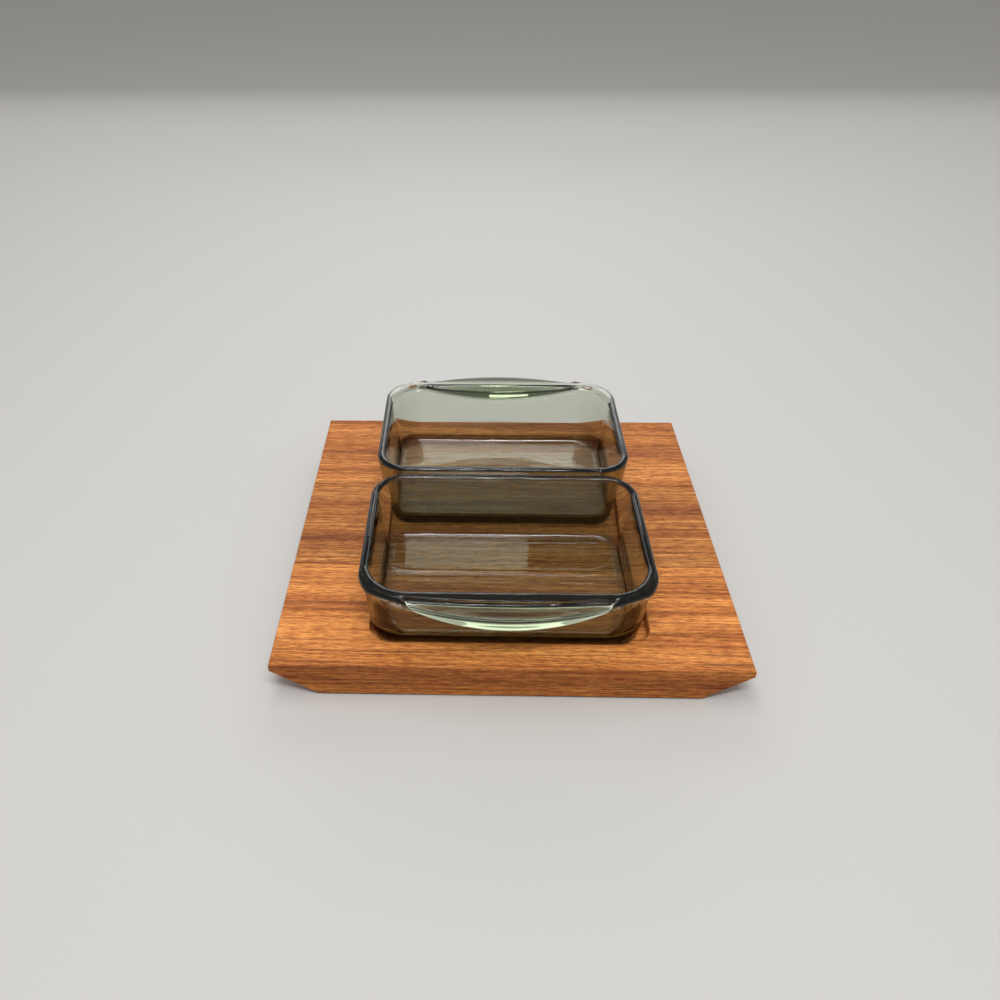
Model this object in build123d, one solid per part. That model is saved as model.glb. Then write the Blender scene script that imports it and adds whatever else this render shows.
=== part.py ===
from build123d import *

import os
from math import cos, radians, sin, tan

# Square-cornered teak turntable with two smoked glass dishes in one common pocket.
# It turns on a thin pressed steel ball swivel let into its underside.
# Millimetres, +Z up, origin on the ground at the turning axis, -Y towards the front.

# Driving dimensions of the board
BOARD_W = 240.0
BOARD_D = 222.0
BOARD_T = 20.5
GROUND_GAP = 1.2
STAVE_COUNT = 3
END_LIP = 4.2
END_UNDERCUT = 23.0
ARRIS_R = 0.9

# Driving dimensions of the pocket that holds both dishes
POCKET_W = 144.5
POCKET_D = 189.0
POCKET_DEPTH = 7.2
POCKET_CORNER_R = 12.5

# Driving dimensions of a dish
DISH_W = 148.0
DISH_BODY_D = 98.7
DISH_H = 45.0
DISH_FLOOR = 6.2
DISH_WALL = 4.5
DISH_LEAN = 5.7
DISH_TAB_LEAN = 12.5
DISH_CORNER_R = 19.0
DISH_TAB_CORNER_R = 25.0
DISH_TAB_FOOT_CORNER_R = 12.0
DISH_FOOT_R = 4.0
DISH_BOWL_R = 4.0
RIM_R = 1.9
RIM_LIP = 4.2
DISH_GAP = 3.0
DISH_SHIFT_X = -1.8

# Driving dimensions of the finger tab along one long side of a dish
TAB_REACH = 12.2
TAB_ARC_R = 150.0
TAB_THICK = 11.6
TAB_THICK_W = 106.0
TAB_STEP = 2.2
TAB_RIM = 4.3
TAB_RIM_BOW = 2.5
TAB_STEP_W = 101.0
TAB_STEP_END = 7.0
TAB_CORNER_R = 14.0

# Driving dimensions of the swivel
RECESS_R = 51.0
RECESS_DEPTH = 6.2
PLATE_R = 49.0
PLATE_T = 1.2
FOOT_H = 1.6
FOOT_R = 6.0
FOOT_STEM_R = 2.5
FOOT_CAP_R = 3.6
FOOT_CAP_H = 0.7
FOOT_CIRCLE_R = 42.0
BALL_R = 2.0
BALL_PLAY = 0.05
BALL_COUNT = 20
RACE_R = 33.0
CAGE_HALF_W = 3.5
CAGE_T = 1.2
PIVOT_R = 4.0
PIVOT_PLAY = 0.05
PIVOT_HEAD_R = 7.0
PIVOT_HEAD_T = 0.8
HUB_PRESS_R = 14.0
HUB_PRESS_DROP = 1.6
WASHER_R = 9.0
WASHER_T = 0.5
SCREW_CIRCLE_R = 43.0
SCREW_COUNT = 4
SCREW_R = 1.5
SCREW_HEAD_R = 3.0
SCREW_HEAD_H = 1.1
SCREW_LENGTH = 4.6
SCREW_SLOT_L = 3.4
SCREW_SLOT_W = 0.7
SCREW_SLOT_DEPTH = 0.6
ACCESS_R = 4.5

# Heights worked out from the driving dimensions
BOARD_BOTTOM = GROUND_GAP
BOARD_TOP = BOARD_BOTTOM + BOARD_T
POCKET_FLOOR = BOARD_TOP - POCKET_DEPTH
RECESS_TOP = BOARD_BOTTOM + RECESS_DEPTH
DISH_TOP = POCKET_FLOOR + DISH_H
BASE_TOP = FOOT_H + PLATE_T
TOP_PLATE_BOTTOM = RECESS_TOP - PLATE_T
BALL_Z = (BASE_TOP + TOP_PLATE_BOTTOM) / 2
STAVE_D = BOARD_D / STAVE_COUNT


def disc(radius, bottom, height):
    """A cylinder on the turning axis, standing on the height called bottom."""
    return Pos(0, 0, bottom) * Cylinder(radius, height, align=(Align.CENTER, Align.CENTER, Align.MIN))


def around(count, radius, start=0.0):
    """Places evenly spaced on a circle about the turning axis."""
    angles = [radians(start + 360 * i / count) for i in range(count)]
    return [Pos(radius * cos(angle), radius * sin(angle), 0) for angle in angles]


def board():
    """The whole board: undercut ends, softened top edges, dish pocket and swivel recess."""
    half_w = BOARD_W / 2
    outline = [
        (-half_w, BOARD_TOP),
        (half_w, BOARD_TOP),
        (half_w, BOARD_TOP - END_LIP),
        (half_w - END_UNDERCUT, BOARD_BOTTOM),
        (END_UNDERCUT - half_w, BOARD_BOTTOM),
        (-half_w, BOARD_TOP - END_LIP),
    ]
    section = Plane.XZ * make_face(Polyline(*outline, close=True))
    plank = extrude(section, BOARD_D / 2, both=True)
    pocket = Pos(0, 0, POCKET_FLOOR) * extrude(
        RectangleRounded(POCKET_W, POCKET_D, POCKET_CORNER_R), POCKET_DEPTH + 1
    )
    plank -= pocket
    top_edges = plank.edges().filter_by(lambda e: abs(e.center().Z - BOARD_TOP) < 0.01)
    plank = fillet(top_edges, ARRIS_R)
    return plank - disc(RECESS_R, BOARD_BOTTOM - 1, RECESS_DEPTH + 1)


def staves():
    """The board as its edge-glued staves, from the front one to the rear one."""
    whole = board()
    cut = []
    for place in around(SCREW_COUNT, SCREW_CIRCLE_R, 45):
        whole -= place * disc(SCREW_R, RECESS_TOP - 1, SCREW_LENGTH - PLATE_T + 1)
    for i in range(STAVE_COUNT):
        middle_y = -BOARD_D / 2 + STAVE_D * (i + 0.5)
        slab = Pos(0, middle_y, BOARD_TOP / 2) * Box(BOARD_W * 2, STAVE_D, BOARD_TOP * 4)
        cut.append(whole & slab)
    return cut


def rounded_plan(left, right, near, far, far_r, near_r):
    """A rectangle between four sides with one radius at its far corners and another at its near ones."""
    face = make_face(Polyline((left, near), (right, near), (right, far), (left, far), close=True))
    near_corners, far_corners = face.vertices().group_by(Axis.Y)
    face = fillet(near_corners, near_r)
    return fillet(face.vertices().group_by(Axis.Y)[-1], far_r)


def leaning_block(inset, bottom, tighter=0):
    """A rounded block up to the rim, set in by inset all round, whose sides lean outwards as they rise.

    At the bottom the corners on the tab's side are tighter than at the rim by the last argument.
    """
    rise = DISH_TOP - bottom
    lean = rise * tan(radians(DISH_LEAN))
    tab_lean = rise * tan(radians(DISH_TAB_LEAN))
    half_w = DISH_W / 2 - inset
    half_d = DISH_BODY_D / 2 - inset
    far_r = DISH_CORNER_R - inset
    near_r = DISH_TAB_CORNER_R - inset
    foot_half_w = half_w - lean
    foot_near = tab_lean - half_d
    foot_far = half_d - lean
    rim = rounded_plan(-half_w, half_w, -half_d, half_d, far_r, near_r)
    foot = rounded_plan(-foot_half_w, foot_half_w, foot_near, foot_far, far_r - lean, near_r - tighter)
    return loft([Pos(0, 0, bottom) * foot, Pos(0, 0, DISH_TOP) * rim], ruled=True)


def lowest_edges(shape):
    """The edges in the lowest plane of a shape."""
    return shape.edges().group_by(Axis.Z)[0]


def rim_outline():
    """Plan of a dish at its rim: three straight sides, and one long arc along the tab side."""
    half_w = DISH_W / 2
    far_y = DISH_BODY_D / 2
    tab_y = -(DISH_BODY_D / 2 + TAB_REACH)
    corner_y = tab_y + TAB_ARC_R - (TAB_ARC_R**2 - half_w**2) ** 0.5
    tab_side = ThreePointArc((-half_w, corner_y), (0, tab_y), (half_w, corner_y))
    sides = Polyline((half_w, corner_y), (half_w, far_y), (-half_w, far_y), (-half_w, corner_y))
    face = fillet(make_face([tab_side, sides]).vertices().group_by(Axis.Y)[0], TAB_CORNER_R)
    return fillet(face.vertices().group_by(Axis.Y)[-1], DISH_CORNER_R)


def rim():
    """The rim of a dish: a thin lip all round, whose underside swells down along the tab."""
    deep = extrude(Pos(0, 0, DISH_TOP) * rim_outline(), TAB_THICK, dir=(0, 0, -1), taper=DISH_LEAN)
    half = TAB_THICK_W / 2
    lip_z = DISH_TOP - RIM_LIP
    low_z = DISH_TOP - 2 * TAB_THICK
    swell = ThreePointArc((-half, lip_z), (0, DISH_TOP - TAB_THICK), (half, lip_z))
    around_it = Polyline(
        (half, lip_z), (DISH_W, lip_z), (DISH_W, low_z), (-DISH_W, low_z), (-DISH_W, lip_z), (-half, lip_z)
    )
    below = extrude(Plane.XZ * make_face([swell, around_it]), DISH_W, both=True)
    return deep - below


def dish():
    """One dish, foot on the pocket floor, with its tab towards -Y and its body centred on the axis."""
    bowl = fillet(lowest_edges(leaning_block(DISH_WALL, POCKET_FLOOR + DISH_FLOOR)), DISH_BOWL_R)
    tighter = DISH_TAB_CORNER_R - DISH_TAB_FOOT_CORNER_R
    lower = fillet(lowest_edges(leaning_block(0, POCKET_FLOOR, tighter)), DISH_FOOT_R)
    lower = split(lower, Plane.XY.offset(DISH_TOP - RIM_LIP), keep=Keep.BOTTOM)
    body = lower + rim() - bowl
    body = fillet(body.edges().group_by(Axis.Z)[-1], RIM_R)
    return body - tab_step()


def tab_step():
    """The step that sets the tab's top below the rim, its two ends cut back, as a block to cut away."""
    inner_y = -(DISH_BODY_D / 2 - DISH_WALL + TAB_RIM)
    outer_y = -(DISH_BODY_D / 2 + TAB_REACH)
    half = TAB_STEP_W / 2
    outer_half = half - TAB_STEP_END
    rim_side = ThreePointArc((-half, inner_y), (0, inner_y - TAB_RIM_BOW), (half, inner_y))
    outer_side = Polyline(
        (half, inner_y),
        (outer_half, outer_y),
        (outer_half, 2 * outer_y),
        (-outer_half, 2 * outer_y),
        (-outer_half, outer_y),
        (-half, inner_y),
    )
    return Pos(0, 0, DISH_TOP - TAB_STEP) * extrude(make_face([rim_side, outer_side]), TAB_STEP * 2)


def dish_at(turn, side):
    """A dish turned about Z and set in its half of the pocket; side is -1 for the front half."""
    centre_y = side * (DISH_GAP + DISH_BODY_D) / 2
    return Pos(DISH_SHIFT_X, centre_y, 0) * Rot(0, 0, turn) * dish()


def race_groove(height):
    """The ring groove that the balls run in, as a torus to cut away."""
    return Pos(0, 0, height) * Torus(RACE_R, BALL_R + BALL_PLAY)


def base_plate():
    """Lower swivel plate: ball groove, pivot hole, foot holes and the hole that reaches the screws."""
    plate = disc(PLATE_R, FOOT_H, PLATE_T) - race_groove(BALL_Z) - disc(PIVOT_R, 0, BASE_TOP + 1)
    for place in around(4, FOOT_CIRCLE_R):
        plate -= place * disc(FOOT_STEM_R, 0, BASE_TOP + 1)
    return plate - around(SCREW_COUNT, SCREW_CIRCLE_R, 45)[0] * disc(ACCESS_R, 0, BASE_TOP + 1)


def top_plate():
    """Upper swivel plate: its middle is pressed down so that the pivot head stays below the board."""
    press_bottom = TOP_PLATE_BOTTOM - HUB_PRESS_DROP
    plate = disc(PLATE_R, TOP_PLATE_BOTTOM, PLATE_T)
    plate += disc(HUB_PRESS_R + PLATE_T, press_bottom, HUB_PRESS_DROP)
    plate -= disc(HUB_PRESS_R, press_bottom + PLATE_T, HUB_PRESS_DROP + 1)
    plate -= race_groove(BALL_Z) + disc(PIVOT_R + PIVOT_PLAY, press_bottom - 1, PLATE_T * 3)
    for place in around(SCREW_COUNT, SCREW_CIRCLE_R, 45):
        plate -= place * screw_shape()
    return plate


def screw_shape():
    """One countersunk wood screw, head down, driven up through the top plate."""
    head = Pos(0, 0, TOP_PLATE_BOTTOM) * Cone(
        SCREW_HEAD_R, SCREW_R, SCREW_HEAD_H, align=(Align.CENTER, Align.CENTER, Align.MIN)
    )
    return head + disc(SCREW_R, TOP_PLATE_BOTTOM, SCREW_LENGTH)


def plate_screws():
    """The screws that hold the top plate to the middle stave, each with a cross slot."""
    across = Box(SCREW_SLOT_L, SCREW_SLOT_W, 2 * SCREW_SLOT_DEPTH)
    along = Box(SCREW_SLOT_W, SCREW_SLOT_L, 2 * SCREW_SLOT_DEPTH)
    one = screw_shape() - Pos(0, 0, TOP_PLATE_BOTTOM) * (across + along)
    return [place * one for place in around(SCREW_COUNT, SCREW_CIRCLE_R, 45)]


def pivot_rivet():
    """The rivet that is the turning axis, headed under the base plate and over the washer."""
    press_top = TOP_PLATE_BOTTOM - HUB_PRESS_DROP + PLATE_T
    head_bottom = press_top + WASHER_T + BALL_PLAY
    lower_head = disc(PIVOT_HEAD_R, FOOT_H - PIVOT_HEAD_T, PIVOT_HEAD_T)
    shaft = disc(PIVOT_R, FOOT_H - PIVOT_HEAD_T, head_bottom - FOOT_H + PIVOT_HEAD_T)
    return lower_head + shaft + disc(PIVOT_HEAD_R, head_bottom, PIVOT_HEAD_T)


def pivot_washer():
    """The plain washer between the rivet's upper head and the pressed middle of the top plate."""
    press_top = TOP_PLATE_BOTTOM - HUB_PRESS_DROP + PLATE_T
    return disc(WASHER_R, press_top, WASHER_T) - disc(PIVOT_R + PIVOT_PLAY, press_top - 1, WASHER_T + 2)


def ball_cage():
    """The flat ring that keeps the balls apart."""
    bottom = BALL_Z - CAGE_T / 2
    ring = disc(RACE_R + CAGE_HALF_W, bottom, CAGE_T) - disc(RACE_R - CAGE_HALF_W, bottom - 1, CAGE_T + 2)
    for place in around(BALL_COUNT, RACE_R):
        ring -= place * disc(BALL_R + 2 * BALL_PLAY, bottom - 1, CAGE_T + 2)
    return ring


def bearing_balls():
    """The steel balls in the race."""
    return [place * Pos(0, 0, BALL_Z) * Sphere(BALL_R) for place in around(BALL_COUNT, RACE_R)]


def foot():
    """A rubber foot on the axis: a domed pad, a stem through the plate and a cap that holds it in."""
    pad = fillet(lowest_edges(disc(FOOT_R, 0, FOOT_H)), FOOT_H / 3)
    return pad + disc(FOOT_STEM_R, 0, BASE_TOP) + disc(FOOT_CAP_R, BASE_TOP, FOOT_CAP_H)


def main():
    os.makedirs("parts", exist_ok=True)
    nodes = dict(zip(("front_stave", "middle_stave", "rear_stave"), staves()))
    nodes["front_dish"] = dish_at(0, -1)
    nodes["rear_dish"] = dish_at(180, 1)
    nodes["top_plate"] = top_plate()
    nodes["plate_screws"] = Compound(plate_screws())
    nodes["base_plate"] = base_plate()
    nodes["pivot_rivet"] = pivot_rivet()
    nodes["pivot_washer"] = pivot_washer()
    nodes["ball_cage"] = ball_cage()
    nodes["bearing_balls"] = Compound(bearing_balls())
    for name, place in zip(("right", "rear", "left", "front"), around(4, FOOT_CIRCLE_R)):
        nodes[f"foot_{name}"] = place * foot()
    for name, shape in nodes.items():
        export_step(shape, f"parts/{name}.step")
    print(len(nodes), "nodes")


main()
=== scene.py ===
"""Looks of a teak turntable with two smoked glass dishes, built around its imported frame."""
import math

import bmesh
import bpy
from mathutils import Matrix, Vector


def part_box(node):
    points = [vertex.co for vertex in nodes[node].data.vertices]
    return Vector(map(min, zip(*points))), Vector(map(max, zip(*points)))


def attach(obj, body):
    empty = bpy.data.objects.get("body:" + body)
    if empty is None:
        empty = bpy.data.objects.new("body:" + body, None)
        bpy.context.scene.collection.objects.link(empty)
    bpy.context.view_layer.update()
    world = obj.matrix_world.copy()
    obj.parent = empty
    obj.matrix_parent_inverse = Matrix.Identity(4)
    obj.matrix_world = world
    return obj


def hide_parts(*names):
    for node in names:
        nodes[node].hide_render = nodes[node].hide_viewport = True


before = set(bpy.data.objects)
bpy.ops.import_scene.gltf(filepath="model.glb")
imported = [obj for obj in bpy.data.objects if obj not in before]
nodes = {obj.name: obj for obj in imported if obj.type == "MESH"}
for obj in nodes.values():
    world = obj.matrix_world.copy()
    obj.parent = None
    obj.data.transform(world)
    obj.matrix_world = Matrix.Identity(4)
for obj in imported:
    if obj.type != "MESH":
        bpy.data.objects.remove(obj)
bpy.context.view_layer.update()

MM = 0.001

# Dish sizes in millimetres
DISH_LEAN = math.tan(math.radians(5.7))
DISH_TAB_LEAN = math.tan(math.radians(12.5))
DISH_W = 148.0
DISH_BODY_D = 98.7
DISH_H = 45.0
DISH_FLOOR = 6.2
DISH_WALL = 4.5
DISH_CORNER_R = 19.0
DISH_TAB_CORNER_R = 25.0
DISH_TAB_FOOT_CORNER_R = 12.0
DISH_FOOT_R = 4.0
DISH_BOWL_R = 4.0
BOWL_TIGHTEN = 0.5
RIM_R = 1.9
DISH_GAP = 3.0
DISH_SHIFT_X = -1.8
DISH_TOP = 59.5
TAB_REACH = 12.2
TAB_ARC_R = 150.0
TAB_THICK = 11.6
TAB_THICK_HALF = 53.0
RIM_LIP = 4.2
FLANGE_FILLET_R = 2.4
TAB_STEP = 2.2
TAB_SLOPE = 0.4
TAB_RIM = 4.3
TAB_RIM_BOW = 2.5
TAB_CORNER_BLEND = 12.0
TAB_EDGE_R = 1.2
TAB_STEP_HALF = 49.0
TAB_STEP_RUN = 2.4
TAB_STEP_SLANT = 0.5
FOOT_LIFT = 0.05
STEP_START = -1.9
STEP_NOSE_R = 0.6
STEP_TOE_R = 1.1
RIM_FLAT_START = -2.3
UNDERSIDE_START = -0.8
WALL_START = 0.8

# How finely a dish is divided along its outline and round its fillets
NEAR_STEPS = 200
FAR_STEPS = 40
SIDE_STEPS = 24
CORNER_STEPS = 26
ROUND_STEPS = 7
CAP_RINGS = 6
QUARTER_TURN = math.radians(90.0)
TO_LEANING_WALL = math.radians(84.0)

# Colours in linear red, green and blue, and how strongly they act
TEAK_PALE = (0.74, 0.272, 0.068)
TEAK_MIDDLE = (0.58, 0.190, 0.042)
TEAK_DEEP = (0.44, 0.132, 0.033)
STREAK_DARK = (0.50, 0.38, 0.37)
STREAK_PALE = (1.30, 1.46, 1.50)
FLECK_DARK = (0.60, 0.48, 0.47)
FLECK_PALE = (1.26, 1.40, 1.44)
GLUE_DARK = (0.30, 0.22, 0.20)
GLASS_TINT = (0.20, 0.29, 0.05)
GLASS_DENSITY = 96.0
GLASS_SHADOW = (0.38, 0.40, 0.36)
GLASS_IOR = 1.5
FLOOR_COLOUR = (0.66, 0.65, 0.63)
FLOOR_BOUNCE = (0.24, 0.22, 0.20)
FLOOR_HALF = 30.0
SURROUND_COLOUR = (1.0, 0.98, 0.95)
SURROUND_STRENGTH = 0.34

# Camera in the photograph's frame of 1000 pixels each way
FRAME_PX = 1000
CAMERA_POS_MM = (-20.2, -380.1, 341.5)
CAMERA_PITCH = math.radians(36.94)
CAMERA_YAW = math.radians(-1.6)
CAMERA_ROLL = math.radians(-0.47)
CAMERA_FOCAL_PX = 828.9
CAMERA_CENTRE_PX = (452.7, 476.9)
SENSOR_MM = 36.0


def lerp(a, b, t):
    """The value a share t of the way from a to b."""
    return a + (b - a) * t


def smoothstep(t):
    """An even S-shaped rise from 0 to 1."""
    t = min(max(t, 0.0), 1.0)
    return t * t * (3.0 - 2.0 * t)


def smooth_min(a, b, width):
    """The lesser of two values, rounded off where they come within width of each other."""
    h = max(width - abs(a - b), 0.0) / width
    return min(a, b) - h * h * width / 4.0


def spread(count, low=0.0, high=1.0):
    """count values evenly spaced from low to high, both included."""
    return [lerp(low, high, i / (count - 1)) for i in range(count)]


# Shape of a dish
class DishOutline:
    """Places round a dish, seen from above: where each lies on the rim, and which way is outwards."""

    def __init__(self):
        self.near_x = DISH_W / 2 - DISH_TAB_CORNER_R
        self.stations = []
        self.add_side("near", NEAR_STEPS)
        self.add_corner(1, -1, -90.0)
        self.add_side("right", SIDE_STEPS)
        self.add_corner(1, 1, 0.0)
        self.add_side("far", FAR_STEPS)
        self.add_corner(-1, 1, 90.0)
        self.add_side("left", SIDE_STEPS)
        self.add_corner(-1, -1, 180.0)
        self.reach = [self.tab_reach(s) for s in self.stations]

    def add_side(self, name, steps):
        """Stations along a straight side, each with its share of the way."""
        for i in range(steps):
            self.stations.append((name, i / steps))

    def add_corner(self, side_x, side_y, start):
        """Stations round a corner, each with the side it is on and its angle."""
        for i in range(CORNER_STEPS):
            angle = math.radians(start + 90.0 * i / CORNER_STEPS)
            self.stations.append(("corner", side_x, side_y, angle))

    def plan(self, inset, drop, tighten=1.0):
        """The wall's outline, drop below the rim and set in by inset: a list of (x, y, outward direction).

        tighten is the share of the foot's tighter corners, on the tab's side, that the wall takes on.
        """
        half_w = DISH_W / 2 - inset - drop * DISH_LEAN
        far = DISH_BODY_D / 2 - inset - drop * DISH_LEAN
        near = inset + drop * DISH_TAB_LEAN - DISH_BODY_D / 2
        far_r = max(DISH_CORNER_R - inset - drop * DISH_LEAN, 0.5)
        tighter = tighten * drop / DISH_H * (DISH_TAB_CORNER_R - DISH_TAB_FOOT_CORNER_R)
        near_r = max(DISH_TAB_CORNER_R - inset - tighter, 0.5)
        ends = {
            "near": ((near_r - half_w, near), (half_w - near_r, near), (0.0, -1.0)),
            "right": ((half_w, near + near_r), (half_w, far - far_r), (1.0, 0.0)),
            "far": ((half_w - far_r, far), (far_r - half_w, far), (0.0, 1.0)),
            "left": ((-half_w, far - far_r), (-half_w, near + near_r), (-1.0, 0.0)),
        }
        found = []
        for station in self.stations:
            if station[0] == "corner":
                _, side_x, side_y, angle = station
                radius = far_r if side_y > 0 else near_r
                centre = (side_x * (half_w - radius), far - radius if side_y > 0 else near + radius)
                out = (math.cos(angle), math.sin(angle))
                found.append((centre[0] + radius * out[0], centre[1] + radius * out[1], out))
            else:
                start, end, out = ends[station[0]]
                share = station[1]
                found.append((lerp(start[0], end[0], share), lerp(start[1], end[1], share), out))
        return found

    def tab_reach(self, station):
        """How far the rim stands out past the body: most in the middle of the tab, none at the back."""
        arc_centre_y = TAB_ARC_R - DISH_BODY_D / 2 - TAB_REACH
        if station[0] == "near":
            x = lerp(-self.near_x, self.near_x, station[1])
            return TAB_REACH - TAB_ARC_R + math.sqrt(TAB_ARC_R**2 - x**2)
        if station[0] != "corner" or station[2] > 0:
            return 0.0
        angle = station[3]
        centre = (station[1] * self.near_x, DISH_TAB_CORNER_R - DISH_BODY_D / 2)
        gap = (centre[0], centre[1] - arc_centre_y)
        along = math.cos(angle) * gap[0] + math.sin(angle) * gap[1]
        to_arc = math.sqrt(along**2 - gap[0] ** 2 - gap[1] ** 2 + TAB_ARC_R**2) - along
        to_side = DISH_TAB_CORNER_R / max(abs(math.cos(angle)), 0.01)
        return max(smooth_min(to_arc, to_side, TAB_CORNER_BLEND) - DISH_TAB_CORNER_R, 0.0)


OUTLINE = DishOutline()


def wall_loop(inset, drop, tighten=1.0):
    """A ring of points on the plain wall."""
    return [Vector((x, y, -drop)) for x, y, _ in OUTLINE.plan(inset, drop, tighten)]


def step_share(x, offset):
    """How much of the tab's step there is at x: all of it between its ends, which slant and are rounded."""
    past_end = abs(x) + TAB_STEP_SLANT * offset - TAB_STEP_HALF
    return 1.0 - smoothstep(past_end / TAB_STEP_RUN)


def step_edge(x):
    """Where the step's edge is at x, out from the body's rim: furthest in the middle, as it is bowed."""
    along = min(abs(x) / (TAB_STEP_HALF + TAB_STEP_RUN), 1.0)
    return TAB_RIM - DISH_WALL + TAB_RIM_BOW * (1.0 - along**2)


def rim_loop(plain, stepped):
    """A ring on the rim's top or outer edge.

    The first argument gives (offset, drop) for a reach, and the second for a reach and the step's edge.
    """
    ring = []
    for (x, y, out), reach in zip(OUTLINE.plan(0.0, 0.0), OUTLINE.reach):
        plain_offset, plain_drop = plain(reach)
        step_offset, step_drop = stepped(reach, step_edge(x))
        share = step_share(x, step_offset) if reach > 0.0 else 0.0
        offset = lerp(plain_offset, step_offset, share)
        ring.append(Vector((x + out[0] * offset, y + out[1] * offset, -lerp(plain_drop, step_drop, share))))
    return ring


def flange_low(x):
    """How far below the rim the flange's underside is at x: a thin lip, deeper along the tab."""
    along = min(abs(x) / TAB_THICK_HALF, 1.0)
    return lerp(TAB_THICK, RIM_LIP, along**2)


def flange_loop(wall_drop, flange):
    """A ring under the rim: on the wall where the rim doesn't stand out, round the flange where it does.

    The first argument gives the drop on the wall, and the second (offset, drop) on the flange.
    """
    ring = []
    for i, (x, y, out) in enumerate(OUTLINE.plan(0.0, 0.0)):
        reach = OUTLINE.reach[i]
        low = flange_low(x)
        share = smoothstep(reach / (2.0 * TAB_EDGE_R))
        offset, drop = flange(reach, low, out)
        on_flange = Vector((x + out[0] * offset, y + out[1] * offset, -drop))
        depth = wall_drop(low)
        lean = lerp(DISH_LEAN, DISH_TAB_LEAN, max(-out[1], 0.0) ** 2)
        on_wall = Vector((x - out[0] * lean * depth, y - out[1] * lean * depth, -depth))
        ring.append(on_wall.lerp(on_flange, share))
    return ring


def bowl_loops():
    """Rings up the inside, from the edge of the flat floor to the rim's top."""
    floor_drop = DISH_H - DISH_FLOOR
    loops = []
    for turn in spread(ROUND_STEPS, 0.0, TO_LEANING_WALL):
        away = DISH_BOWL_R * (1.0 - math.sin(turn))
        rise = DISH_BOWL_R * (1.0 - math.cos(turn))
        loops.append(wall_loop(DISH_WALL + away, floor_drop - rise, BOWL_TIGHTEN))
    for share in (0.25, 0.5, 0.75):
        loops.append(wall_loop(DISH_WALL, lerp(floor_drop - DISH_BOWL_R, RIM_R, share), BOWL_TIGHTEN))
    for turn in spread(ROUND_STEPS, 0.0, math.radians(90.0)):
        inset = DISH_WALL - RIM_R * (1.0 - math.cos(turn))
        loops.append(wall_loop(inset, RIM_R * (1.0 - math.sin(turn)), BOWL_TIGHTEN))
    return loops


def step_profile():
    """Points down the step and out along the tab's top.

    Each is a function that gives (offset, drop) for a reach and the step's edge.
    """
    points = [lambda reach, edge: (STEP_START, 0.0)]
    for turn in spread(5, 0.0, QUARTER_TURN):
        back = STEP_NOSE_R * (1.0 - math.sin(turn))
        drop = STEP_NOSE_R * (1.0 - math.cos(turn))
        points.append(lambda reach, edge, back=back, drop=drop: (edge - back, drop))
    for turn in spread(4, 0.0, QUARTER_TURN):
        ahead = STEP_TOE_R * (1.0 - math.cos(turn))
        drop = TAB_STEP - STEP_TOE_R * (1.0 - math.sin(turn))
        points.append(lambda reach, edge, ahead=ahead, drop=drop: (edge + ahead, drop))
    for share in (0.25, 0.5, 0.75):
        points.append(lambda reach, edge, share=share: on_tab_top(reach, edge, share))
    return points


def on_tab_top(reach, edge, share):
    """(offset, drop) a share of the way out along the tab's top."""
    offset = lerp(edge + STEP_TOE_R, reach - TAB_EDGE_R, share)
    return offset, TAB_STEP + TAB_SLOPE * share


def on_plain_edge(reach, turn):
    """(offset, drop) on the rounding of the rim's outer top edge."""
    back = RIM_R * (1.0 - math.sin(turn))
    down = RIM_R * (1.0 - math.cos(turn))
    return face_offset(reach, RIM_R) - back, down


def on_tab_edge(reach, turn):
    """(offset, drop) on the rounding of the tab's outer top edge."""
    tab_drop = TAB_STEP + TAB_SLOPE
    back = TAB_EDGE_R * (1.0 - math.sin(turn))
    down = TAB_EDGE_R * (1.0 - math.cos(turn))
    return face_offset(reach, tab_drop + TAB_EDGE_R) - back, tab_drop + down


def rim_loops():
    """Rings over the rim's top, down the step to the tab, and round the outer top edge."""
    loops = []
    profile = step_profile()
    flat_shares = spread(len(profile) + 1)[:-1]
    for stepped, share in zip(profile, flat_shares):
        loops.append(rim_loop(lambda reach: (lerp(RIM_FLAT_START, reach - RIM_R, share), 0.0), stepped))
    for turn in spread(ROUND_STEPS, 0.0, QUARTER_TURN):
        loops.append(
            rim_loop(
                lambda reach: on_plain_edge(reach, turn),
                lambda reach, edge: on_tab_edge(reach, turn),
            )
        )
    return loops


def face_offset(reach, drop):
    """Where the rim's outer face is, drop below the rim: it draws in a little as it goes down."""
    return reach - drop * DISH_LEAN


def wall_offset(out, drop):
    """Where the plain wall is below the rim, measured along the outward direction."""
    return -drop * lerp(DISH_LEAN, DISH_TAB_LEAN, max(-out[1], 0.0) ** 2)


def on_outer_face(reach, low, share):
    """(offset, drop) a share of the way down the tab's outer face."""
    top = TAB_STEP + TAB_SLOPE + TAB_EDGE_R
    end = low - TAB_EDGE_R
    return face_offset(reach, max(lerp(top, end, share), 0.0)), lerp(min(top, low), end, share)


def on_lower_edge(reach, low, turn):
    """(offset, drop) on the rounding between the tab's outer face and its underside."""
    back = TAB_EDGE_R * (1.0 - math.cos(turn))
    up = TAB_EDGE_R * (1.0 - math.sin(turn))
    return face_offset(reach, low) - back, low - up


def on_underside(reach, low, out, share):
    """(offset, drop) a share of the way in along the tab's underside."""
    start = face_offset(reach, low) - TAB_EDGE_R
    end = wall_offset(out, low) + FLANGE_FILLET_R
    return lerp(start, end, share), low


def on_wall_fillet(low, out, turn):
    """(offset, drop) on the fillet between the tab's underside and the wall."""
    ahead = FLANGE_FILLET_R * (1.0 - math.sin(turn))
    down = FLANGE_FILLET_R * (1.0 - math.cos(turn))
    return wall_offset(out, low + down) + ahead, low + down


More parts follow.
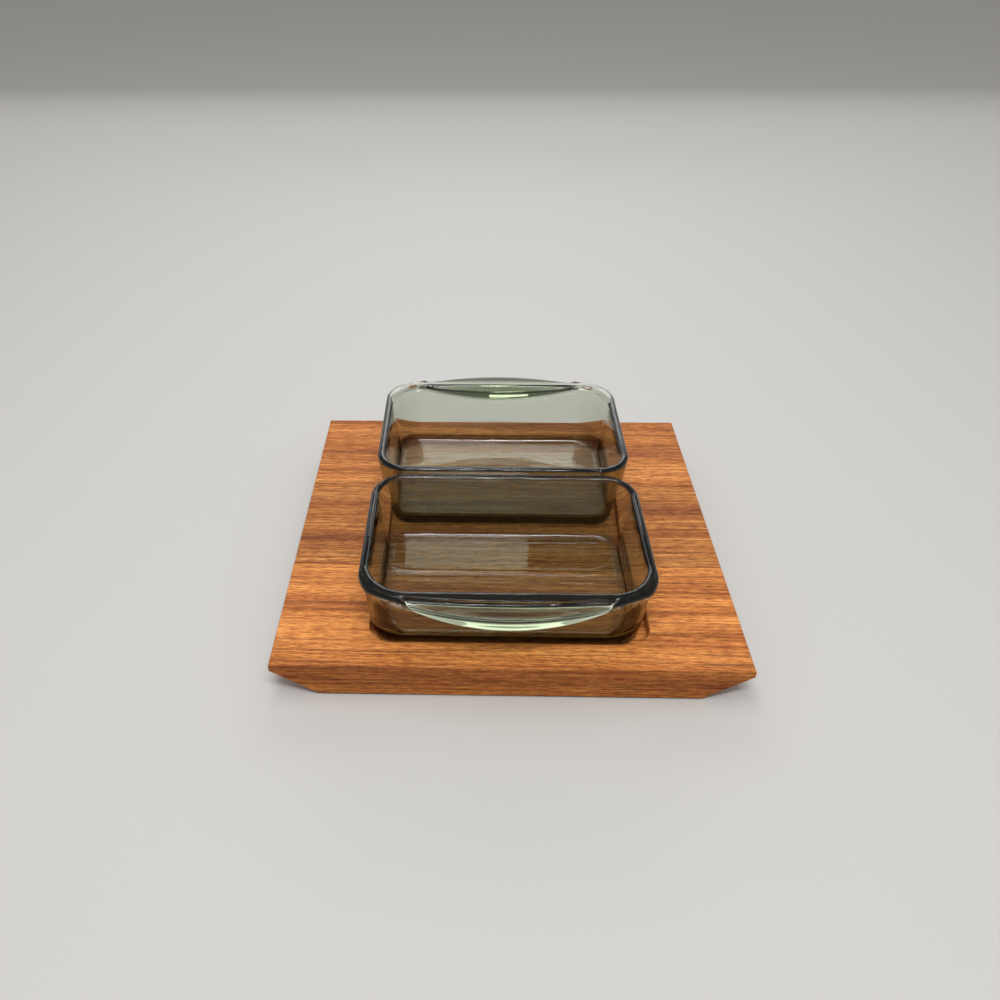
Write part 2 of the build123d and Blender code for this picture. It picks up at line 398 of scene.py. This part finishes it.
def under_profile():
    """Points round the tab's lower edge, in along its underside and down to the wall.

    Each is a function that gives (offset, drop) for a reach, the underside's depth and the outward direction.
    """
    points = []
    for turn in spread(5, math.radians(18.0), QUARTER_TURN):
        points.append(lambda reach, low, out, turn=turn: on_lower_edge(reach, low, turn))
    for share in (0.3, 0.6, 0.9):
        points.append(lambda reach, low, out, share=share: on_underside(reach, low, out, share))
    for turn in spread(6, math.radians(10.0), math.radians(80.0)):
        points.append(lambda reach, low, out, turn=turn: on_wall_fillet(low, out, turn))
    return points


def flange_loops():
    """Rings down the tab's outer face, round its lower edge and back along its underside to the wall."""
    loops = []
    for share in (0.35, 0.7, 1.0):
        loops.append(
            flange_loop(
                lambda low: lerp(RIM_R, low - TAB_EDGE_R, share),
                lambda reach, low, out: on_outer_face(reach, low, share),
            )
        )
    profile = under_profile()
    wall_drops = spread(len(profile), UNDERSIDE_START, FLANGE_FILLET_R)
    for more, point in zip(wall_drops, profile):
        loops.append(flange_loop(lambda low: low + more, point))
    return loops


def foot_loops():
    """Rings down the outer wall and round to the flat base."""
    loops = []
    top_drop = TAB_THICK + FLANGE_FILLET_R + WALL_START
    for share in (0.0, 0.35, 0.7):
        loops.append(wall_loop(0.0, lerp(top_drop, DISH_H - DISH_FOOT_R, share)))
    for turn in spread(ROUND_STEPS + 2, TO_LEANING_WALL, 0.0):
        away = DISH_FOOT_R * (1.0 - math.sin(turn))
        rise = DISH_FOOT_R * (1.0 - math.cos(turn))
        loops.append(wall_loop(away, DISH_H - FOOT_LIFT - rise))
    return loops


def add_cap(bm, ring, flip):
    """Close a ring of vertices with rings that shrink onto its middle."""
    middle = sum((v.co for v in ring), Vector()) / len(ring)
    last = ring
    for i in range(1, CAP_RINGS):
        share = 1.0 - i / CAP_RINGS
        new = [bm.verts.new(middle.lerp(v.co, share)) for v in ring]
        bridge(bm, last, new, flip)
        last = new
    hub = bm.verts.new(middle)
    for i, v in enumerate(last):
        w = last[(i + 1) % len(last)]
        bm.faces.new((v, hub, w) if flip else (v, w, hub))


def bridge(bm, lower, upper, flip=False):
    """Faces between two rings of the same number of vertices."""
    count = len(lower)
    for i in range(count):
        j = (i + 1) % count
        quad = (lower[i], lower[j], upper[j], upper[i])
        bm.faces.new(tuple(reversed(quad)) if flip else quad)


def dish_mesh():
    """The mesh of one dish in metres, its rim at height 0 and its tab towards -Y."""
    bm = bmesh.new()
    loops = bowl_loops() + rim_loops() + flange_loops() + foot_loops()
    rings = [[bm.verts.new(p * MM) for p in loop] for loop in loops]
    for inner, outer in zip(rings, rings[1:]):
        bridge(bm, outer, inner)
    add_cap(bm, rings[0], flip=False)
    add_cap(bm, rings[-1], flip=True)
    bmesh.ops.recalc_face_normals(bm, faces=bm.faces)
    mesh = bpy.data.meshes.new("dish")
    bm.to_mesh(mesh)
    bm.free()
    mesh.shade_smooth()
    return mesh


def add_dish(node, side, turn, material):
    """A glass dish that stands for a node and rides on the body of that name; side is -1 for the front."""
    dish = bpy.data.objects.new(f"{node}_glass", dish_mesh())
    bpy.context.scene.collection.objects.link(dish)
    dish.data.materials.append(material)
    middle_y = side * (DISH_GAP + DISH_BODY_D) / 2
    place = Matrix.Translation(Vector((DISH_SHIFT_X, middle_y, DISH_TOP)) * MM)
    dish.data.transform(place @ Matrix.Rotation(turn, 4, "Z"))
    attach(dish, node)
    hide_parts(node)
    return dish


# Materials
class Shader:
    """A new material with its Principled node, and short ways to add and join nodes."""

    def __init__(self, name):
        self.material = bpy.data.materials.new(name)
        self.material.use_nodes = True
        self.tree = self.material.node_tree
        self.bsdf = self.tree.nodes["Principled BSDF"]
        self.output = self.tree.nodes["Material Output"]

    def node(self, kind, **settings):
        """A new node with these settings."""
        made = self.tree.nodes.new(kind)
        for key, value in settings.items():
            setattr(made, key, value)
        return made

    def join(self, source, target):
        """A link from an output to an input."""
        self.tree.links.new(source, target)

    def place(self, scale, offset=(0.0, 0.0, 0.0), turn=0.0):
        """Object coordinates, turned about Z, scaled and moved."""
        coords = self.node("ShaderNodeTexCoord")
        rotate = self.node("ShaderNodeVectorRotate", rotation_type="Z_AXIS")
        rotate.inputs["Angle"].default_value = turn
        mapping = self.node("ShaderNodeMapping")
        mapping.inputs["Location"].default_value = offset
        mapping.inputs["Scale"].default_value = scale
        self.join(coords.outputs["Object"], rotate.inputs["Vector"])
        self.join(rotate.outputs["Vector"], mapping.inputs["Vector"])
        return mapping.outputs["Vector"]

    def noise(self, vector, scale=1.0, detail=3.0, roughness=0.5, distortion=0.0):
        """A noise texture's value."""
        made = self.node("ShaderNodeTexNoise")
        made.inputs["Scale"].default_value = scale
        made.inputs["Detail"].default_value = detail
        made.inputs["Roughness"].default_value = roughness
        made.inputs["Distortion"].default_value = distortion
        self.join(vector, made.inputs["Vector"])
        return made.outputs["Fac"]

    def ramp(self, value, *stops):
        """A colour ramp; each stop is (position, colour)."""
        made = self.node("ShaderNodeValToRGB")
        elements = made.color_ramp.elements
        while len(elements) < len(stops):
            elements.new(0.5)
        for element, (position, colour) in zip(elements, stops):
            element.position = position
            element.color = (*colour, 1.0) if len(colour) == 3 else colour
        self.join(value, made.inputs["Fac"])
        return made.outputs["Color"]

    def mix(self, share, first, second, blend="MIX"):
        """Two colours mixed; share is a number or a socket."""
        made = self.node("ShaderNodeMix", data_type="RGBA", blend_type=blend)
        self.feed(share, made.inputs["Factor"])
        self.feed(first, made.inputs[6])
        self.feed(second, made.inputs[7])
        return made.outputs[2]

    def math(self, operation, first, second=0.0):
        """The result of a sum; each value is a number or a socket."""
        made = self.node("ShaderNodeMath", operation=operation)
        self.feed(first, made.inputs[0])
        self.feed(second, made.inputs[1])
        return made.outputs[0]

    def feed(self, value, socket):
        """Link a socket to an input, or write a number or a colour on it."""
        if isinstance(value, bpy.types.NodeSocket):
            self.join(value, socket)
        elif isinstance(value, tuple) and len(value) == 3:
            socket.default_value = (*value, 1.0)
        else:
            socket.default_value = value

    def bump(self, height, strength, distance):
        """Relief on the surface."""
        made = self.node("ShaderNodeBump")
        made.inputs["Strength"].default_value = strength
        made.inputs["Distance"].default_value = distance
        self.join(height, made.inputs["Height"])
        self.join(made.outputs["Normal"], self.bsdf.inputs["Normal"])

    def set(self, **values):
        """Values on the Principled node, named with underscores for spaces."""
        for key, value in values.items():
            self.feed(value, self.bsdf.inputs[key.replace("_", " ")])


def grey(value):
    """A colour with red, green and blue alike."""
    return (value, value, value)


def toned(colour, tone):
    """A colour made lighter or darker."""
    return tuple(c * tone for c in colour)


def teak(name, offset, turn, tone):
    """Oiled teak with its grain along X. Offset, turn and tone set one stave apart from the next."""
    shader = Shader(name)
    pale = toned(TEAK_PALE, tone)
    middle = toned(TEAK_MIDDLE, tone)
    deep = toned(TEAK_DEEP, tone)

    def grain(along, across, **settings):
        """Noise drawn out along the grain; both numbers are counts in a metre."""
        return shader.noise(shader.place((along, across, across), offset, turn), **settings)

    bands = grain(3.0, 75.0, detail=3.0, roughness=0.5, distortion=0.15)
    streaks = grain(13.0, 500.0, detail=4.0, roughness=0.7)
    cells = grain(150.0, 1050.0, detail=2.0, roughness=0.6)
    rings = grain(2.0, 230.0, detail=3.0, roughness=0.55)
    pores = grain(320.0, 2200.0, detail=1.0)
    body = shader.ramp(bands, (0.33, deep), (0.45, middle), (0.60, pale))
    fine = shader.ramp(streaks, (0.36, STREAK_DARK), (0.50, grey(0.98)), (0.63, STREAK_PALE))
    body = shader.mix(0.65, body, fine, "MULTIPLY")
    mottle = shader.ramp(cells, (0.33, FLECK_DARK), (0.50, grey(0.99)), (0.67, FLECK_PALE))
    body = shader.mix(0.9, body, mottle, "MULTIPLY")
    dark = shader.ramp(
        rings,
        (0.510, grey(1.0)),
        (0.522, grey(0.25)),
        (0.530, grey(0.40)),
        (0.545, grey(1.0)),
    )
    body = shader.mix(0.7, body, dark, "MULTIPLY")
    holes = shader.ramp(pores, (0.32, grey(0.45)), (0.40, grey(1.0)))
    body = shader.mix(0.7, body, holes, "MULTIPLY")
    body = shader.mix(0.75, body, glue_line(shader), "MULTIPLY")
    shader.join(body, shader.bsdf.inputs["Base Color"])
    rough = shader.ramp(streaks, (0.3, grey(0.68)), (0.7, grey(0.50)))
    shader.join(rough, shader.bsdf.inputs["Roughness"])
    height = shader.math("MULTIPLY", shader.math("ADD", streaks, pores), 0.5)
    shader.bump(height, 0.35, 0.0003)
    shader.set(Specular_IOR_Level=0.25)
    return shader.material


def glue_line(shader):
    """A thin dark line where two staves meet, and white elsewhere."""
    seam_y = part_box("middle_stave")[1][1]
    coords = shader.node("ShaderNodeTexCoord")
    split = shader.node("ShaderNodeSeparateXYZ")
    shader.join(coords.outputs["Object"], split.inputs["Vector"])
    from_middle = shader.math("ABSOLUTE", split.outputs["Y"])
    from_seam = shader.math("ABSOLUTE", shader.math("SUBTRACT", from_middle, seam_y))
    in_mm = shader.math("DIVIDE", from_seam, MM)
    return shader.ramp(in_mm, (0.10, GLUE_DARK), (0.60, grey(1.0)))


def smoked_glass():
    """Brown-grey glass that is darker the further light goes through it, with a pressed surface."""
    shader = Shader("smoked_glass")
    shader.set(Base_Color=(1.0, 1.0, 1.0), Transmission_Weight=1.0, IOR=GLASS_IOR, Roughness=0.012)
    waves = shader.noise(shader.place((1.0, 1.0, 1.0)), scale=85.0, detail=1.0)
    shader.bump(waves, 0.06, 0.0004)
    absorb = shader.node("ShaderNodeVolumeAbsorption")
    absorb.inputs["Color"].default_value = (*GLASS_TINT, 1.0)
    absorb.inputs["Density"].default_value = GLASS_DENSITY
    shader.join(absorb.outputs["Volume"], shader.output.inputs["Volume"])
    path = shader.node("ShaderNodeLightPath")
    clear = shader.node("ShaderNodeBsdfTransparent")
    clear.inputs["Color"].default_value = (*GLASS_SHADOW, 1.0)
    both = shader.node("ShaderNodeMixShader")
    shader.join(path.outputs["Is Shadow Ray"], both.inputs[0])
    shader.join(shader.bsdf.outputs["BSDF"], both.inputs[1])
    shader.join(clear.outputs["BSDF"], both.inputs[2])
    shader.join(both.outputs["Shader"], shader.output.inputs["Surface"])
    return shader.material


def plated_steel(name, colour, rough):
    """Zinc-plated or polished metal with faint cloudy staining and fine scratches."""
    shader = Shader(name)
    cloud = shader.noise(shader.place((1.0, 1.0, 1.0)), scale=70.0, detail=4.0)
    scratch = shader.noise(shader.place((25.0, 900.0, 900.0), turn=0.4), detail=2.0)
    worn = toned(colour, 0.72)
    shader.join(shader.ramp(cloud, (0.35, worn), (0.6, colour)), shader.bsdf.inputs["Base Color"])
    rough_map = shader.ramp(scratch, (0.3, grey(rough + 0.12)), (0.7, grey(rough)))
    shader.join(rough_map, shader.bsdf.inputs["Roughness"])
    shader.bump(scratch, 0.08, 0.0001)
    shader.set(Metallic=1.0)
    return shader.material


def moulded(name, colour, rough, grain):
    """Moulded plastic or rubber with a fine matt grain."""
    shader = Shader(name)
    cloud = shader.noise(shader.place((1.0, 1.0, 1.0)), scale=60.0, detail=3.0)
    specks = shader.noise(shader.place((1.0, 1.0, 1.0)), scale=grain, detail=2.0)
    darker = toned(colour, 0.8)
    shader.join(shader.ramp(cloud, (0.35, darker), (0.65, colour)), shader.bsdf.inputs["Base Color"])
    rough_map = shader.ramp(specks, (0.3, grey(rough + 0.1)), (0.7, grey(rough)))
    shader.join(rough_map, shader.bsdf.inputs["Roughness"])
    shader.bump(specks, 0.15, 0.0001)
    return shader.material


def paint(node, material):
    """Give a carried-over node its finish."""
    mesh = nodes[node].data
    mesh.materials.clear()
    mesh.materials.append(material)


# Stage
def add_floor():
    """A wide pale floor that throws less light back than it shows."""
    half = FLOOR_HALF
    mesh = bpy.data.meshes.new("floor")
    corners = [(-half, -half, 0.0), (half, -half, 0.0), (half, half, 0.0), (-half, half, 0.0)]
    mesh.from_pydata(corners, [], [(0, 1, 2, 3)])
    floor = bpy.data.objects.new("floor", mesh)
    bpy.context.scene.collection.objects.link(floor)
    shader = Shader("floor")
    path = shader.node("ShaderNodeLightPath")
    tone = shader.mix(path.outputs["Is Diffuse Ray"], FLOOR_COLOUR, FLOOR_BOUNCE)
    shader.set(Base_Color=tone, Roughness=0.7)
    mesh.materials.append(shader.material)


def add_softbox(name, place, target, size, power):
    """A rectangular lamp at place that faces target, in metres and watts."""
    data = bpy.data.lights.new(name, "AREA")
    data.shape = "RECTANGLE"
    data.size, data.size_y = size
    data.energy = power
    lamp = bpy.data.objects.new(name, data)
    bpy.context.scene.collection.objects.link(lamp)
    aim = Vector(target) - Vector(place)
    lamp.rotation_euler = aim.to_track_quat("-Z", "Y").to_euler()
    lamp.location = place


def add_world():
    """An even pale surround."""
    world = bpy.data.worlds.new("surround")
    bpy.context.scene.world = world
    world.use_nodes = True
    background = world.node_tree.nodes["Background"]
    background.inputs["Color"].default_value = (*SURROUND_COLOUR, 1.0)
    background.inputs["Strength"].default_value = SURROUND_STRENGTH


def add_camera():
    """The photograph's view: place, direction, focal length and the frame's offset from the lens axis."""
    data = bpy.data.cameras.new("camera")
    data.sensor_width = SENSOR_MM
    data.lens = CAMERA_FOCAL_PX / FRAME_PX * SENSOR_MM
    data.shift_x = 0.5 - CAMERA_CENTRE_PX[0] / FRAME_PX
    data.shift_y = CAMERA_CENTRE_PX[1] / FRAME_PX - 0.5
    data.clip_start = 0.01
    camera = bpy.data.objects.new("camera", data)
    bpy.context.scene.collection.objects.link(camera)
    heading = Matrix.Rotation(-CAMERA_YAW, 4, "Z")
    tilt = Matrix.Rotation(math.pi / 2 - CAMERA_PITCH, 4, "X")
    roll = Matrix.Rotation(CAMERA_ROLL, 4, "Z")
    place = Matrix.Translation(Vector(CAMERA_POS_MM) * MM)
    camera.matrix_world = place @ heading @ tilt @ roll
    bpy.context.scene.camera = camera


def dress():
    """Finish of every piece."""
    paint("front_stave", teak("teak_front", (0.13, 0.0, 0.31), 0.010, 1.10))
    paint("middle_stave", teak("teak_middle", (1.71, 2.3, 0.9), -0.006, 0.80))
    paint("rear_stave", teak("teak_rear", (3.37, 5.1, 1.7), 0.014, 1.0))
    glass = smoked_glass()
    add_dish("front_dish", -1, 0.0, glass)
    add_dish("rear_dish", 1, math.pi, glass)
    steel = plated_steel("plate_steel", (0.62, 0.62, 0.60), 0.30)
    for node in ("top_plate", "base_plate", "pivot_rivet"):
        paint(node, steel)
    paint("bearing_balls", plated_steel("ball_steel", (0.78, 0.78, 0.79), 0.08))
    paint("plate_screws", plated_steel("screw_brass", (0.72, 0.53, 0.24), 0.28))
    nylon = moulded("nylon", (0.78, 0.75, 0.67), 0.45, 900.0)
    paint("ball_cage", nylon)
    paint("pivot_washer", nylon)
    rubber = moulded("foot_rubber", (0.045, 0.043, 0.042), 0.7, 1500.0)
    for node in ("foot_front", "foot_right", "foot_rear", "foot_left"):
        paint(node, rubber)


def add_lamps():
    """Soft lamps behind, above and in front; the two small ones show as reflections in the dishes' floors."""
    add_softbox(
        "back_high",
        place=(-0.026, 0.86, 0.812),
        target=(-0.026, 0.0, 0.812),
        size=(0.24, 0.115),
        power=0.32,
    )
    add_softbox(
        "back_low",
        place=(0.03, 0.86, 0.545),
        target=(0.03, 0.0, 0.545),
        size=(0.40, 0.21),
        power=0.62,
    )
    add_softbox(
        "back_wide",
        place=(0.0, 1.25, 0.65),
        target=(0.0, 0.0, 0.65),
        size=(2.2, 0.82),
        power=5.5,
    )
    add_softbox(
        "overhead",
        place=(-0.15, -0.05, 1.30),
        target=(0.0, -0.02, 0.0),
        size=(1.1, 0.46),
        power=4.8,
    )
    add_softbox(
        "front",
        place=(0.1, -0.64, 1.30),
        target=(0.0, -0.05, 0.0),
        size=(0.6, 0.12),
        power=7.4,
    )


def main():
    """The dressed part on its stage."""
    dress()
    add_floor()
    add_world()
    add_lamps()
    add_camera()
    bpy.context.scene.view_settings.view_transform = "Standard"


main()
